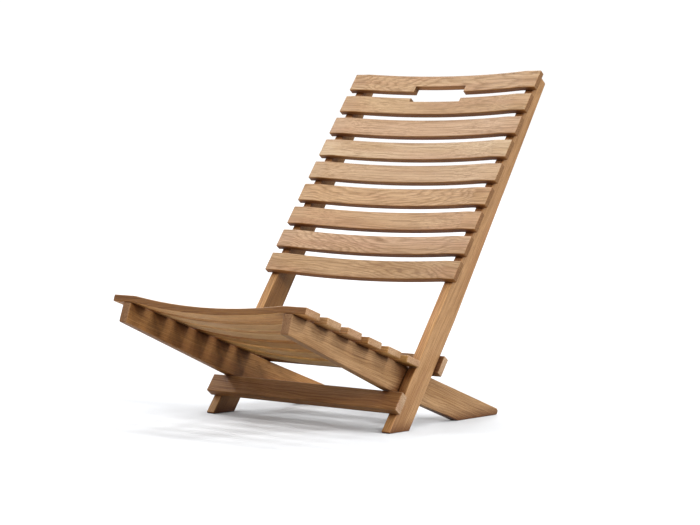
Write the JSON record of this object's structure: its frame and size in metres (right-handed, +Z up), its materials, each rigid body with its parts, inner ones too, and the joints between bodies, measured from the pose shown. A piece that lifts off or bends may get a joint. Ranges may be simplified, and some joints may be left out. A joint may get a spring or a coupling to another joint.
{
  "type": "beach chair",
  "caption": "Low slatted teak beach chair: a tilted seat frame pushes through a reclined back frame between two crossbars, with a hand-hold cut under the top slat.",
  "frame": {"origin": "on the floor, under the middle of the assembled chair's bounding box", "axes": "+Z up; -Y is the side the sitter faces; +X is to the right for someone looking at the chair from the front"},
  "size_m": [0.443, 0.7515, 0.6572],
  "materials": {
    "teak_slat": "bare sanded teak, satin, grain along each slat",
    "teak_frame": "bare sanded teak, satin, grain along each board",
    "dowel": "plain turned hardwood"
  },
  "bodies": {
    "back_frame": {"left_stile": "teak_frame", "right_stile": "teak_frame", "front_crossbar": "teak_frame", "rear_crossbar": "teak_frame", "back_slat_1": "teak_slat", "back_slat_2": "teak_slat", "back_slat_3": "teak_slat", "back_slat_4": "teak_slat", "back_slat_5": "teak_slat", "back_slat_6": "teak_slat", "back_slat_7": "teak_slat", "back_slat_8": "teak_slat", "back_slat_9": "teak_slat", "back_slat_dowels": "dowel", "front_crossbar_dowels": "dowel", "rear_crossbar_dowels": "dowel"},
    "seat_frame": {"left_seat_rail": "teak_frame", "right_seat_rail": "teak_frame", "seat_slat_1": "teak_slat", "seat_slat_2": "teak_slat", "seat_slat_3": "teak_slat", "seat_slat_4": "teak_slat", "seat_slat_5": "teak_slat", "seat_slat_6": "teak_slat", "seat_slat_dowels": "dowel"}
  },
  "joints": [
    {"name": "seat_frame_slide", "type": "slide", "parent": "back_frame", "child": "seat_frame", "axis": [0, -0.9489, 0.3156], "range_m": [0, 0.37]}
  ]
}
